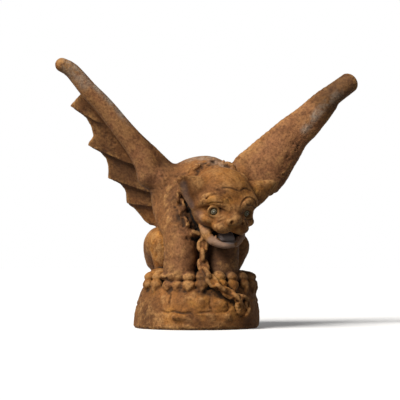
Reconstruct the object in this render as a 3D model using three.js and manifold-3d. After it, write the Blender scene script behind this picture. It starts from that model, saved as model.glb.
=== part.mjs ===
// A cast-stone garden gargoyle: a winged, dog-headed beast that crouches on a rough round plinth,
// chained by the neck. It is one casting, so it is one solid. Millimetres, +Z up, the beast faces -Y,
// and +X is its own left. The origin is the centre of the plinth's underside.
import * as THREE from "three";
import { mergeVertices } from "three/addons/utils/BufferGeometryUtils.js";
import Module from "manifold-3d";

const wasm = await Module();
wasm.setup();

const v = (x, y, z) => new THREE.Vector3(x, y, z);

// ---------------------------------------------------------------- driving dimensions
const PLINTH_RADIUS = 104;
const PLINTH_HEIGHT = 82;
const LEAN = THREE.MathUtils.degToRad(2.5); // the whole beast leans to its own left
const STONE = new THREE.MeshStandardMaterial({ color: 0x8a5426, roughness: 0.85, metalness: 0 });

const LEG_X = 34.5; // half the distance between the front legs
const LEG_Y = -56;
const LEG_RADIUS = 27;
const STANCE = -5.5; // both front legs stand this far to the beast's right
// How far out each hind leg's knee, calf and heel are.
const HIND_LEGS = {
  right: { knee: 56, calf: 55, heel: 53 },
  left: { knee: 64, calf: 61, heel: 55 },
};
// The toes' bearings round the plinth's rim, in degrees from straight ahead towards the beast's left.
const FRONT_TOES = [-47, -36.1, -22.4, -9.3, 10.2, 25.5, 43];
const HIND_TOES = [-81, -64, 58, 76];
const HUMP = v(5, 12, 228); // the top of the arched back
const HUMP_RADIUS = 57;
const NECK_RADIUS = 51;

const HEAD_PLACE = v(20, -74, 208);
const HEAD_DOWN = THREE.MathUtils.degToRad(16);
const HEAD_LEFT = THREE.MathUtils.degToRad(11.5);

const WING_ROOT = v(52, 8, 236);
// The arms, from the elbow to the bare tip. The left one is cast broader and is spread a little wider.
const ARMS = {
  right: {
    path: [
      v(86, -4, 246),
      v(111, -6, 293),
      v(135, -8, 319),
      v(170, -11, 356),
      v(212, -13, 397),
      v(240.5, -14, 417),
    ],
    girths: [21, 19.5, 17.5, 16, 14.8, 13.4, 13.8],
    breadths: [1, 1],
    shoulder: { path: [v(44, 12, 228), v(78, 10, 264), v(120, 6, 308)], girths: [29, 24, 17] },
  },
  left: {
    path: [
      v(92, -4, 256),
      v(128, -6, 300),
      v(152, -8, 331),
      v(179, -12, 358),
      v(208, -15, 390),
      v(246, -20, 422),
    ],
    girths: [19, 18.5, 17.5, 16, 15.5, 15.5, 17],
    breadths: [2.2, 2.1, 1.78, 1.6, 1.42, 1.2, 1.05],
    shoulder: { path: [v(44, 12, 228), v(72, 8, 256), v(108, 4, 288)], girths: [29, 25, 15] },
  },
};
const WING_RISE = THREE.MathUtils.degToRad(45.5); // the wing's angle above the horizon
const WING_SPLAYS = { right: 35, left: 42 }; // how many degrees the web turns outwards from straight back
const WEB_THICK = 12;
const RIB_THICK = 20;
// Each finger: where it leaves the arm, where its tip is along the arm, and how far back that tip reaches.
const FINGERS = [
  { root: 158, tip: 205, reach: 48 },
  { root: 92, tip: 138, reach: 74 },
  { root: 42, tip: 72, reach: 92 },
  { root: 6, tip: 18, reach: 103 },
  { root: -22, tip: -30, reach: 100 },
];
const NOTCH_RISE = 15; // a notch lies this far above the finger tip that it hooks out to
const NOTCH_DEPTH = 15;

// ---------------------------------------------------------------- solids from three.js geometry

// A closed geometry as a solid: only its positions count, and shared corners are merged.
function solid(geometry) {
  const bare = geometry.index ? geometry.toNonIndexed() : geometry.clone();
  for (const name of Object.keys(bare.attributes)) {
    if (name !== "position") bare.deleteAttribute(name);
  }
  const merged = mergeVertices(bare, 1e-3);
  const vertProperties = merged.attributes.position.array;
  const triVerts = new Uint32Array(merged.index.array);
  return new wasm.Manifold(new wasm.Mesh({ numProp: 3, vertProperties, triVerts }));
}

const fuse = (geometries) => geometries.map(solid).reduce((whole, next) => whole.add(next));

function geometryOf(manifold) {
  const mesh = manifold.getMesh();
  return new THREE.BufferGeometry()
    .setAttribute("position", new THREE.BufferAttribute(mesh.vertProperties, 3))
    .setIndex(new THREE.BufferAttribute(mesh.triVerts, 1));
}

// The value at a share (0 to 1) of the way along a list of evenly spaced values.
function spaced(values, share) {
  const place = share * (values.length - 1);
  const low = Math.min(Math.floor(place), values.length - 2);
  return THREE.MathUtils.lerp(values[low], values[low + 1], place - low);
}

// A bent, tapering bar with round ends: a capsule laid along a curve. The radii are spaced evenly along
// it, and the section is `wide` times as wide in the direction of `across`: one number, or a list that is
// spaced like the radii.
function limb(path, radii, { sides = 8, steps = 3, caps = 1, wide = 1, across = v(1, 0, 0) } = {}) {
  const curve = new THREE.CatmullRomCurve3(path);
  const capsule = new THREE.CapsuleGeometry(1, 2, caps, sides, steps);
  const spots = capsule.attributes.position;
  for (let i = 0; i < spots.count; i++) {
    const share = THREE.MathUtils.clamp((spots.getY(i) + 1) / 2, 0, 1);
    const beyond = spots.getY(i) - (2 * share - 1);
    const radius = spaced(radii, share);
    const breadth = Array.isArray(wide) ? spaced(wide, share) : wide;
    const tangent = curve.getTangentAt(share);
    const flat = across.clone().projectOnPlane(tangent).normalize();
    const rise = flat.clone().cross(tangent);
    const place = curve
      .getPointAt(share)
      .addScaledVector(tangent, beyond * radius)
      .addScaledVector(flat, spots.getX(i) * radius * breadth)
      .addScaledVector(rise, spots.getZ(i) * radius);
    spots.setXYZ(i, place.x, place.y, place.z);
  }
  return capsule;
}

function ball(centre, radii, { turn = [0, 0, 0], sides = 12, rings = 7 } = {}) {
  return new THREE.SphereGeometry(1, sides, rings)
    .rotateX(Math.PI / 2)
    .scale(...radii)
    .applyMatrix4(new THREE.Matrix4().makeRotationFromEuler(new THREE.Euler(...turn)))
    .translate(centre.x, centre.y, centre.z);
}

const both = (make) => [-1, 1].flatMap((side) => make(side));
const handOf = (side) => (side > 0 ? "left" : "right");

// ---------------------------------------------------------------- plinth

// A low dome of rough rock: a turned profile whose wall swells and sinks a little round the compass.
function plinth() {
  const profile = [
    [0, 0],
    [0.97, 0],
    [1, 0.05],
    [0.99, 0.3],
    [0.95, 0.55],
    [0.89, 0.78],
    [0.79, 0.92],
    [0.6, 0.99],
    [0, 1.03],
  ].map(([r, z]) => new THREE.Vector2(r * PLINTH_RADIUS, z * PLINTH_HEIGHT));
  const dome = new THREE.LatheGeometry(profile, 28).rotateX(Math.PI / 2);
  const spots = dome.attributes.position;
  for (let i = 0; i < spots.count; i++) {
    const [x, y, z] = [spots.getX(i), spots.getY(i), spots.getZ(i)];
    const around = Math.atan2(y, x);
    const high = z / PLINTH_HEIGHT;
    const swell = 1 + 0.014 * high * Math.sin(3 * around + 1) + 0.012 * high * Math.sin(5 * around);
    const shift = 4.5 * high; // the top stands a little to the beast's left
    spots.setXYZ(i, x * swell + shift, y * swell - 4 * high, z);
  }
  return dome;
}

// ---------------------------------------------------------------- body

function torso() {
  const back = [v(0, 22, 222), v(0, 50, 180), v(0, 58, 130), v(0, 56, 96)];
  const chest = [v(0, -6, 200), v(0, -26, 150), v(0, -24, 104)];
  const neck = [v(0, -4, 226), v(14, -34, 220), v(22, -58, 212)];
  return [
    ball(HUMP, [HUMP_RADIUS * 1.04, HUMP_RADIUS * 1.05, HUMP_RADIUS], { sides: 16, rings: 9 }),
    limb(back, [54, 56, 56, 48], { sides: 16, steps: 4 }),
    limb(chest, [48, 40, 34], { sides: 12, steps: 3 }),
    limb(neck, [NECK_RADIUS, NECK_RADIUS, 44], { sides: 14, steps: 3, caps: 2 }),
  ];
}

function frontLeg(side) {
  const x = STANCE + side * LEG_X;
  const shoulderToPaw = [v(side * 38, -14, 214), v(x, -42, 168), v(x, LEG_Y + 2, 130), v(x, LEG_Y, 92)];
  return [
    limb(shoulderToPaw, [32, 29, LEG_RADIUS, LEG_RADIUS], { sides: 11, steps: 3 }),
    ball(v(x + side * 2, LEG_Y - 4, 82), [32, 23, 10], { sides: 11, rings: 6 }),
  ];
}

// A toe points outwards at its bearing: two knuckles bend down over the plinth's rim, with a blunt claw.
function toe(bearing, girth) {
  const angle = THREE.MathUtils.degToRad(bearing);
  const at = (out, z) => v(4 + out * Math.sin(angle), -3.5 - out * Math.cos(angle), z);
  const girths = [0.85, 0.92, 0.9, 1.02, 0.5].map((share) => share * girth);
  return limb([at(56, 88), at(86, 84), at(87, 72), at(92, 62)], girths, { sides: 7, steps: 5 });
}

function hindLeg(side) {
  const { knee, calf, heel } = HIND_LEGS[handOf(side)];
  const bend = v(side * knee, 1, 137);
  const thigh = [v(side * 38, 56, 122), v(side * knee * 0.92, 30, 134), bend];
  return [
    limb(thigh, [40, 33, 24], { sides: 11, steps: 3 }),
    limb([bend, v(side * calf, 2, 118), v(side * heel, 8, 98)], [23.5, 20.5, 16.5], { sides: 9, steps: 2 }),
    ball(v(side * (heel + 8), -6, 83), [20, 28, 12], { sides: 10, rings: 6 }),
  ];
}

// ---------------------------------------------------------------- head

// Made in its own frame: the skull's centre at the origin, the nose towards -Y and +X the beast's left.
function headForms() {
  const centred = [
    ball(v(2, 4, 10), [48, 50, 43], { sides: 16, rings: 10 }),
    ball(v(1, -8, -18), [51, 42, 34], { sides: 13, rings: 8 }),
    ball(v(0, -36, -22), [32, 30, 21], { sides: 11, rings: 6 }),
    // the bridge and the bulb of the nose
    limb([v(0, -40, 0), v(0, -52, -7), v(0, -61, -15)], [12, 10, 10], { sides: 7, steps: 2 }),
  ];
  const paired = both((side) => [
    // jowl and upper lip
    ball(v(side * 17, -45, -32), [19, 20, 12], { sides: 9, rings: 6 }),
    // eyeball
    ball(v(side * 27, -39, -10), [9, 9, 9], { sides: 7, rings: 5 }),
    // the root of the ear, level with the temple
    ball(v(side * 44, -6, 12), [20, 13, 20], { sides: 8, rings: 5 }),
    // the heavy brow, from the temple over the eye to the bridge of the nose
    limb(
      [v(side * 45, -18, -2), v(side * 38, -31, 7), v(side * 23, -41, 9), v(side * 10, -49, 0)],
      [8, 11.5, 11.5, 7],
      { sides: 6, steps: 4 },
    ),
    // wing of the nose
    ball(v(side * 9, -61, -18), [7, 7, 6], { sides: 6, rings: 4 }),
  ]);
  return [...centred, ...paired];
}

// The lower jaw: a U-shaped lip that hangs open below the muzzle, with the chin under it.
function jaw() {
  return [
    limb(
      [v(-34, -12, -44), v(-27, -34, -59), v(0, -46, -63), v(27, -34, -59), v(34, -12, -44)],
      [6, 7, 7, 7, 6],
      { sides: 6, steps: 8, across: v(0, 0, 1) },
    ),
    ball(v(0, -16, -53), [30, 28, 15], { sides: 10, rings: 6 }),
  ];
}

function ear(side) {
  const [reach, rise] = side > 0 ? [82, 34] : [79, 31]; // the right ear hangs a little
  return limb([v(side * 36, 2, 8), v(side * 56, -2, 17), v(side * reach, -5, rise)], [28, 20, 6.5], {
    sides: 8,
    wide: 0.58,
    across: v(0, 1, 0),
  });
}

function head() {
  const mouth = ball(v(0, -38, -49), [27, 24, 8], { sides: 10, rings: 5 });
  const nostrils = both((side) => [ball(v(side * 9, -68, -18), [3, 4, 3], { sides: 5, rings: 3 })]);
  const inEar = [v(60, -22, 18), v(72, -18, 27)]; // the left ear is hollowed in front
  const earHollow = limb(inEar, [9, 5], { sides: 6, steps: 2, wide: 0.5, across: v(0, 1, 0) });
  const tongue = ball(v(0, -28, -56), [16, 20, 7], { sides: 7, rings: 4 });
  const pose = new THREE.Matrix4()
    .makeRotationFromEuler(new THREE.Euler(HEAD_DOWN, 0, HEAD_LEFT, "ZYX"))
    .setPosition(HEAD_PLACE);
  const posed = (geometries) => geometries.map((g) => g.applyMatrix4(pose));
  return fuse(posed([...headForms(), ...jaw(), ...both((side) => [ear(side)])]))
    .subtract(fuse(posed([mouth, ...nostrils, earHollow])))
    .add(fuse(posed([tongue])));
}

// ---------------------------------------------------------------- wings

// A wing is drawn in a plane: `along` its arm from the shoulder, `behind` the arm, `proud` of the web.
function wingPoint(side, along, behind, proud = 0) {
  const arm = v(Math.cos(WING_RISE), 0, Math.sin(WING_RISE));
  const outwards = v(Math.sin(WING_RISE), 0, -Math.cos(WING_RISE));
  const splay = THREE.MathUtils.degToRad(WING_SPLAYS[handOf(side)]);
  const back = v(0, Math.cos(splay), 0).addScaledVector(outwards, Math.sin(splay));
  const face = arm.clone().cross(back);
  const place = WING_ROOT.clone()
    .addScaledVector(arm, along)
    .addScaledVector(back, behind)
    .addScaledVector(face, proud);
  return v(side * place.x, place.y, place.z);
}

// The web's trailing edge, from the tip end to the flank: each finger tip hooks out from a notch just
// above it, and a shallow hollow runs on down to the next notch. A rib runs from the arm to each finger tip.
function trailingEdge() {
  const edge = [{ along: FINGERS[0].tip - 2, behind: 8, root: 190, thick: WEB_THICK }];
  FINGERS.forEach(({ root, tip, reach }, k) => {
    if (k > 0) {
      edge.push({ along: tip + NOTCH_RISE, behind: reach - NOTCH_DEPTH, root: root + 14, thick: WEB_THICK });
    }
    edge.push({ along: tip, behind: reach, root, thick: RIB_THICK });
    const next = FINGERS[k + 1];
    if (!next) return;
    const sag = 7;
    edge.push({
      along: THREE.MathUtils.lerp(tip, next.tip + NOTCH_RISE, 0.5),
      behind: THREE.MathUtils.lerp(reach, next.reach - NOTCH_DEPTH, 0.5) - sag,
      root: THREE.MathUtils.lerp(root, next.root + 14, 0.35),
      thick: WEB_THICK,
    });
  });
  edge.push({ along: -62, behind: 60, root: -48, thick: WEB_THICK });
  return edge;
}

// The web: a thick sheet between the arm and its trailing edge. A box's grid is laid over it.
function web(side) {
  const edge = trailingEdge();
  const rows = edge.length - 1;
  const sheet = new THREE.BoxGeometry(1, 1, 1, rows, 3, 1);
  const spots = sheet.attributes.position;
  for (let i = 0; i < spots.count; i++) {
    const row = edge[Math.round((0.5 - spots.getX(i)) * rows)];
    const out = spots.getY(i) + 0.5;
    const along = THREE.MathUtils.lerp(row.root, row.along, out);
    const thick = THREE.MathUtils.lerp(row.thick, row.thick * 0.5, out);
    const place = wingPoint(side, along, row.behind * out, spots.getZ(i) * thick);
    spots.setXYZ(i, place.x, place.y, place.z);
  }
  if (side < 0) turnInsideOut(sheet);
  return sheet;
}

function turnInsideOut(geometry) {
  const order = geometry.index.array;
  for (let i = 0; i < order.length; i += 3) [order[i], order[i + 1]] = [order[i + 1], order[i]];
}

function wing(side) {
  const at = (x, y, z) => v(side * x, y, z);
  const { path, girths, breadths, shoulder } = ARMS[handOf(side)];
  const arm = limb(path.map(({ x, y, z }) => at(x, y, z)), girths, {
    sides: 11,
    steps: 6,
    caps: 2,
    wide: breadths,
    across: at(0.7, -0.2, -0.7),
  });
  const root = limb(shoulder.path.map(({ x, y, z }) => at(x, y, z)), shoulder.girths, { sides: 10 });
  return [arm, root, web(side)];
}

// ---------------------------------------------------------------- collar and chain

// A chain carved in relief: flat rings lie along a curve, and the links seen edge-on join them.
function chain(path, count, size, outwards) {
  const curve = new THREE.CatmullRomCurve3(path);
  return Array.from({ length: count }, (_, k) => {
    const share = k / (count - 1);
    const place = curve.getPointAt(share);
    const tangent = curve.getTangentAt(share);
    if (k % 2 === 1) {
      const half = tangent.clone().multiplyScalar(size * 0.9);
      const ends = [place.clone().sub(half), place.clone().add(half)];
      return limb(ends, [size * 0.5, size * 0.5], { sides: 5, steps: 1 });
    }
    const out = outwards(place).projectOnPlane(tangent).normalize();
    const lay = new THREE.Matrix4().makeBasis(tangent, out.clone().cross(tangent), out);
    return new THREE.TorusGeometry(size, size * 0.42, 4, 6)
      .scale(1.3, 1, 1)
      .applyMatrix4(lay)
      .translate(place.x, place.y, place.z);
  });
}

function collar() {
  const centre = v(12, -56, 209);
  const right = [v(-36, -50, 238), v(-43, -54, 214), v(-42, -60, 193), v(-38, -69, 168), v(-20, -70, 152)];
  const left = [v(28, -64, 151), v(54, -68, 172), v(66, -62, 200), v(66, -58, 228), v(50, -56, 252)];
  const top = [v(20, -42, 270), v(-14, -46, 257), right[0]];
  const path = [...right, ...left, ...top];
  const ridge = limb(path, [7, 7], { sides: 6, steps: 18 });
  return [ridge, ...chain(path, 15, 8, (place) => place.clone().sub(centre).add(v(0, -30, 0)))];
}

function leash() {
  const relief = 5; // the links are carved on a low ridge of stone
  const hanging = [v(2, -56, 168), v(-6, -76, 140), v(-7, -82, 104)];
  const overPlinth = [v(-3, -94, 88), v(6, -101, 75), v(31, -99, 60), v(47, -93, 47), v(60, -87, 31)];
  const path = [...hanging, ...overPlinth];
  const ridge = limb(path, [relief, relief], { sides: 4, steps: 6 });
  return [ridge, ...chain(path, 11, 7.5, (place) => v(place.x, place.y, 30))];
}

function tail() {
  const path = [v(0, 84, 100), v(34, 92, 88), v(64, 64, 86), v(84, 30, 84)];
  return limb(path, [16, 13, 10, 7], { sides: 7, steps: 4 });
}

// ---------------------------------------------------------------- the casting

const lean = new THREE.Matrix4()
  .makeTranslation(0, 0, PLINTH_HEIGHT)
  .multiply(new THREE.Matrix4().makeRotationY(LEAN))
  .multiply(new THREE.Matrix4().makeTranslation(0, 0, -PLINTH_HEIGHT));

const beastForms = [
  ...torso(),
  ...both(frontLeg),
  ...FRONT_TOES.map((bearing) => toe(bearing, 11.2)),
  ...both(hindLeg),
  ...HIND_TOES.map((bearing) => toe(bearing, 10)),
  ...both(wing),
  ...collar(),
  tail(),
];
const beast = fuse(beastForms).add(head());
const leaned = solid(geometryOf(beast).applyMatrix4(lean));
const casting = solid(plinth()).add(leaned).add(fuse(leash()));

const gargoyle = new THREE.Mesh(geometryOf(casting), STONE);
gargoyle.name = "gargoyle";

const group = new THREE.Group();
group.add(gargoyle);
export default group;
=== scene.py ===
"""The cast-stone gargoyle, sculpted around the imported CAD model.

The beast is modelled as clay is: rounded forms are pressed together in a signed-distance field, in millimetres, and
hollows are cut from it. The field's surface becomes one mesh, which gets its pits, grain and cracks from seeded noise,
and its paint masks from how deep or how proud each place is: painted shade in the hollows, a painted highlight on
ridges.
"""
import math

import bpy
import numpy as np
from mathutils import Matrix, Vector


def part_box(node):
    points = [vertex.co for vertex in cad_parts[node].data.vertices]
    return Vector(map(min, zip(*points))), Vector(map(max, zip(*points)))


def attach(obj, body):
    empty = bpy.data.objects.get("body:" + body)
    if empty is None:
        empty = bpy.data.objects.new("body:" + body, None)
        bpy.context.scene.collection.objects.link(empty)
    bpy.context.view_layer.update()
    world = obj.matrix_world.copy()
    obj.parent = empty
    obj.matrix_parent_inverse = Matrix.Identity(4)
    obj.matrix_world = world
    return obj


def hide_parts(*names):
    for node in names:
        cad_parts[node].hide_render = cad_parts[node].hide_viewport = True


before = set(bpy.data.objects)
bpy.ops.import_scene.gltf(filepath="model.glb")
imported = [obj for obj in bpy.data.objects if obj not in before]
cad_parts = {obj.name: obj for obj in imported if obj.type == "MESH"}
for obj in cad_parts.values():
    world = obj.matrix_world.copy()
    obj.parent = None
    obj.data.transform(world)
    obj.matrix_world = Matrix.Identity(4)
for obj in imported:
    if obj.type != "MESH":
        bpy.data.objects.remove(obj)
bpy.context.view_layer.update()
NODE_LOW, NODE_HIGH = (np.array(corner) * 1000 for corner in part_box("gargoyle"))

STEP = 1.35  # the field's spacing
TRIANGLES = 190_000
FAR = 30.0  # the field's value where no form is near
GRID_LOW = NODE_LOW - 4
GRID_HIGH = NODE_HIGH + 4
TINY = 1e-6


# ---------------------------------------------------------------- places and curves


class Pose:
    """A turn and a place: at() carries points from its own frame to the object's, into() carries them back."""

    def __init__(self, turn, place):
        self.turn = np.array(turn, float)
        self.place = np.array(place, float)

    def at(self, points):
        return np.asarray(points, float) @ self.turn.T + self.place

    def within(self, outer):
        return Pose(outer.turn @ self.turn, outer.at(self.place))

    def into(self, x, y, z):
        dx, dy, dz = x - self.place[0], y - self.place[1], z - self.place[2]
        return [dx * self.turn[0, k] + dy * self.turn[1, k] + dz * self.turn[2, k] for k in range(3)]


def turn_about(axis, degrees):
    c, s = math.cos(math.radians(degrees)), math.sin(math.radians(degrees))
    return {
        "x": np.array([[1, 0, 0], [0, c, -s], [0, s, c]]),
        "y": np.array([[c, 0, s], [0, 1, 0], [-s, 0, c]]),
        "z": np.array([[c, -s, 0], [s, c, 0], [0, 0, 1]]),
    }[axis]


PLINTH_HEIGHT = 82
UPRIGHT = Pose(np.eye(3), (0, 0, 0))
LEAN_TURN = turn_about("y", 2.5)
PIVOT = np.array([0, 0, PLINTH_HEIGHT])
LEAN = Pose(LEAN_TURN, PIVOT - LEAN_TURN @ PIVOT)
HEAD = Pose(turn_about("z", 11.5) @ turn_about("x", 16), (20, -74, 208)).within(LEAN)


def curve(path, count):
    """A smooth line through the path's points (centripetal Catmull-Rom), as `count` evenly spaced points."""
    path = np.asarray(path, float)
    if len(path) == 2:
        return path[0] + np.linspace(0, 1, count)[:, None] * (path[1] - path[0])
    whole = np.vstack([2 * path[0] - path[1], path, 2 * path[-1] - path[-2]])
    share = np.linspace(0, 1, 24, endpoint=False)[:, None]
    dense = []
    for p0, p1, p2, p3 in zip(whole, whole[1:], whole[2:], whole[3:]):
        d0, d1, d2 = (math.sqrt(np.linalg.norm(b - a)) or 1 for a, b in ((p0, p1), (p1, p2), (p2, p3)))
        t1 = ((p1 - p0) / d0 - (p2 - p0) / (d0 + d1) + (p2 - p1) / d1) * d1
        t2 = ((p2 - p1) / d1 - (p3 - p1) / (d1 + d2) + (p3 - p2) / d2) * d1
        cubic = 2 * p1 - 2 * p2 + t1 + t2
        square = -3 * p1 + 3 * p2 - 2 * t1 - t2
        dense.append(((cubic * share + square) * share + t1) * share + p1)
    dense = np.vstack([*dense, path[-1:]])
    length = np.concatenate([[0], np.cumsum(np.linalg.norm(np.diff(dense, axis=0), axis=1))])
    wanted = np.linspace(0, length[-1], count)
    return np.stack([np.interp(wanted, length, dense[:, k]) for k in range(3)], 1)


def spaced(values, count):
    return np.interp(np.linspace(0, 1, count), np.linspace(0, 1, len(values)), values)


# ---------------------------------------------------------------- the field


def smooth_min(a, b, blend):
    if blend <= 0:
        return np.minimum(a, b)
    share = np.clip(0.5 + 0.5 * (a - b) / blend, 0, 1)
    return a + (b - a) * share - blend * share * (1 - share)


class Clay:
    """A block of the field. Negative values are stone."""

    def __init__(self, low=GRID_LOW, high=GRID_HIGH):
        size = np.ceil((GRID_HIGH - GRID_LOW) / STEP).astype(int)
        self.start = np.clip(np.floor((np.asarray(low) - GRID_LOW) / STEP).astype(int), 0, size - 2)
        self.stop = np.clip(np.ceil((np.asarray(high) - GRID_LOW) / STEP).astype(int) + 1, self.start + 2, size)
        self.values = np.full(self.stop - self.start, FAR, np.float32)

    def window(self, low, high):
        """The part of the block between two corners: its slices, and its x, y and z as open arrays."""
        first = np.floor((np.asarray(low) - GRID_LOW) / STEP).astype(int) - self.start
        last = np.ceil((np.asarray(high) - GRID_LOW) / STEP).astype(int) + 1 - self.start
        first = np.clip(first, 0, self.values.shape)
        last = np.clip(last, first, self.values.shape)
        marks = [GRID_LOW[k] + STEP * (np.arange(first[k], last[k]) + self.start[k]) for k in range(3)]
        x, y, z = (marks[k].astype(np.float32) for k in range(3))
        spot = tuple(slice(first[k], last[k]) for k in range(3))
        return spot, (x[:, None, None], y[None, :, None], z[None, None, :])

    def add(self, form, blend=0.0):
        for spot, distance in form(self, 1.3 * blend + 2 * STEP):
            self.values[spot] = smooth_min(self.values[spot], distance, blend)

    def cut(self, form, blend=1.0):
        for spot, distance in form(self, 1.3 * blend + 2 * STEP):
            self.values[spot] = -smooth_min(-self.values[spot], distance, blend)

    def as_form(self):
        """This block as a form that a larger block can add."""

        def form(clay, _margin):
            first = self.start - clay.start
            spot = tuple(slice(first[k], first[k] + self.values.shape[k]) for k in range(3))
            yield spot, self.values

        return form


def ball(centre, radii, pose=LEAN):
    middle = pose.at(centre)
    own = Pose(pose.turn, middle)
    reach = np.sqrt(((pose.turn * np.array(radii, float)) ** 2).sum(1))

    def form(clay, margin):
        spot, (x, y, z) = clay.window(middle - reach - margin, middle + reach + margin)
        parts = own.into(x, y, z)
        near = np.sqrt(sum((p / r) ** 2 for p, r in zip(parts, radii)))
        slope = np.sqrt(sum((p / r**2) ** 2 for p, r in zip(parts, radii)))
        yield spot, near * (near - 1) / (slope + TINY)

    return form


def limb(path, radii, pose=LEAN, wide=1.0, across=(1, 0, 0), count=14):
    """A bent, tapering bar with round ends, `wide` times as wide in the direction of `across`."""
    spine = pose.at(curve(path, count))
    girth = spaced(radii, count)
    breadth = spaced(np.atleast_1d(wide), count)
    flat = pose.turn @ np.array(across, float)

    def form(clay, margin):
        broad = (girth * np.maximum(1, breadth)).max() + margin
        whole, (x, y, z) = clay.window(spine.min(0) - broad, spine.max(0) + broad)
        shape = [s.stop - s.start for s in whole]
        distance = np.full(shape, FAR, np.float32)
        corner = [s.start for s in whole]
        for a, b, ra, rb, w in zip(spine, spine[1:], girth, girth[1:], breadth):
            room = max(ra, rb) * max(1, w) + margin
            spot, (x, y, z) = clay.window(np.minimum(a, b) - room, np.maximum(a, b) + room)
            along = b - a
            length = along @ along + TINY
            qx, qy, qz = x - a[0], y - a[1], z - a[2]
            share = np.clip((qx * along[0] + qy * along[1] + qz * along[2]) / length, 0, 1)
            qx, qy, qz = qx - share * along[0], qy - share * along[1], qz - share * along[2]
            if w != 1:
                side = flat - along * (flat @ along) / length
                side /= np.linalg.norm(side)
                less = (qx * side[0] + qy * side[1] + qz * side[2]) * (1 - 1 / w)
                qx, qy, qz = qx - less * side[0], qy - less * side[1], qz - less * side[2]
            piece = np.sqrt(qx * qx + qy * qy + qz * qz) - (ra + (rb - ra) * share)
            inner = tuple(slice(s.start - c, s.stop - c) for s, c in zip(spot, corner))
            distance[inner] = np.minimum(distance[inner], piece)
        yield whole, distance

    return form


def ring(centre, along, out, radius, thick, stretch=1.0, pose=LEAN):
    """A chain link: a torus stretched along `along`, lying in the plane that faces `out`."""
    middle = pose.at(centre)
    along = pose.turn @ np.asarray(along, float)
    along = along / np.linalg.norm(along)
    out = pose.turn @ np.asarray(out, float)
    out = out - along * (out @ along)
    out = out / np.linalg.norm(out)
    own = Pose(np.stack([along, np.cross(out, along), out], 1), middle)
    reach = radius * stretch + thick

    def form(clay, margin):
        spot, (x, y, z) = clay.window(middle - reach - margin, middle + reach + margin)
        u, w, n = own.into(x, y, z)
        straight = radius * (stretch - 1)
        u = u - np.clip(u, -straight, straight)
        yield spot, np.sqrt((np.sqrt(u * u + w * w) - radius) ** 2 + n * n) - thick

    return form


# ---------------------------------------------------------------- flat outlines


def outline_table(outline, low, high, pitch=1.0):
    """Signed distances to a closed outline, sampled over a flat grid: negative inside."""
    us = np.arange(low[0], high[0] + pitch, pitch)
    ws = np.arange(low[1], high[1] + pitch, pitch)
    u, w = np.meshgrid(us, ws, indexing="ij")
    nearest = np.full(u.shape, 1e9)
    inside = np.zeros(u.shape, bool)
    outline = np.asarray(outline, float)
    for (u0, w0), (u1, w1) in zip(outline, np.roll(outline, -1, 0)):
        du, dw = u1 - u0, w1 - w0
        share = np.clip(((u - u0) * du + (w - w0) * dw) / (du * du + dw * dw + TINY), 0, 1)
        nearest = np.minimum(nearest, (u - u0 - share * du) ** 2 + (w - w0 - share * dw) ** 2)
        if w0 != w1:
            crosses = ((w0 <= w) & (w < w1)) | ((w1 <= w) & (w < w0))
            inside ^= crosses & (u < u0 + (w - w0) * du / (w1 - w0))
    table = (np.sqrt(nearest) * np.where(inside, -1, 1)).astype(np.float32)

    def look_up(u, w):
        a = np.clip((u - low[0]) / pitch, 0, len(us) - 1.001)
        b = np.clip((w - low[1]) / pitch, 0, len(ws) - 1.001)
        i, j = a.astype(np.int32), b.astype(np.int32)
        a, b = a - i, b - j
        top = table[i, j] * (1 - a) + table[i + 1, j] * a
        low_row = table[i, j + 1] * (1 - a) + table[i + 1, j + 1] * a
        return top * (1 - b) + low_row * b

    return look_up


# ---------------------------------------------------------------- plinth

PLINTH_RADIUS = 104
PLINTH_PROFILE = [
    (0, 0), (0.97, 0), (1, 0.05), (0.99, 0.3), (0.95, 0.55), (0.89, 0.78), (0.79, 0.92), (0.6, 0.99), (0, 1.03),
]
CRACKS = [
    [(-74, -69, 31), (-65, -79, 28), (-56, -86, 30), (-43, -94, 27), (-30, -99, 27), (-27, -100, 22), (-28, -100, 16)],
    [(-23, -101, 27), (-12, -102, 28), (-2, -103, 29), (11, -103, 28), (24, -101, 28), (31, -98, 32), (29, -97, 44)],
    [(1, -99, 50), (0, -101, 41), (4, -103, 30)],
    [(-58, -76, 56), (-61, -78, 44), (-61, -81, 34)],
]
BLOCKS = [((-44, -90, 21), (17, 7, 6)), ((-14, -97, 43), (10, 6, 9)), ((17, -97, 40), (11, 6, 10)),
          ((27, -98, 20), (8, 5, 6)), ((38, -90, 33), (7, 6, 10))]


def lean_of_plinth(high):
    """How far the dome's axis has moved aside and forwards at a height."""
    return 4.5 * high, -4 * high


def plinth():
    """A low dome of rough rock: a turned profile whose wall swells and sinks a little round the compass."""
    profile = np.array(PLINTH_PROFILE) * (PLINTH_RADIUS, PLINTH_HEIGHT)
    outer = profile[profile[:, 0] > 0]
    closed = np.vstack([outer, (0, profile[-1, 1]), outer[::-1] * (-1, 1)])
    distance_at = outline_table(closed, (-1, -12), (140, 120))

    def form(clay, margin):
        reach = np.array([PLINTH_RADIUS + 12, PLINTH_RADIUS + 12, 0])
        spot, (x, y, z) = clay.window(-reach - margin, reach + (0, 0, PLINTH_HEIGHT + 8) + margin)
        high = np.clip(z / PLINTH_HEIGHT, 0, 1.1)
        aside, forward = lean_of_plinth(high)
        east, north = x - aside, y - forward
        around = np.arctan2(north, east)
        swell = 1 + 0.014 * high * np.sin(3 * around + 1) + 0.012 * high * np.sin(5 * around)
        out = np.sqrt(east**2 + north**2) / swell
        yield spot, distance_at(out, np.broadcast_to(z, out.shape))

    return form


def on_plinth(degrees, z):
    """The point of the dome's wall at a bearing and a height."""
    profile = np.array(PLINTH_PROFILE[1:])
    high = z / PLINTH_HEIGHT
    out = PLINTH_RADIUS * np.interp(high, profile[:, 1], profile[:, 0])
    aside, forward = lean_of_plinth(high)
    return out * math.cos(math.radians(degrees)) + aside, out * math.sin(math.radians(degrees)) + forward, z


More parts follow.
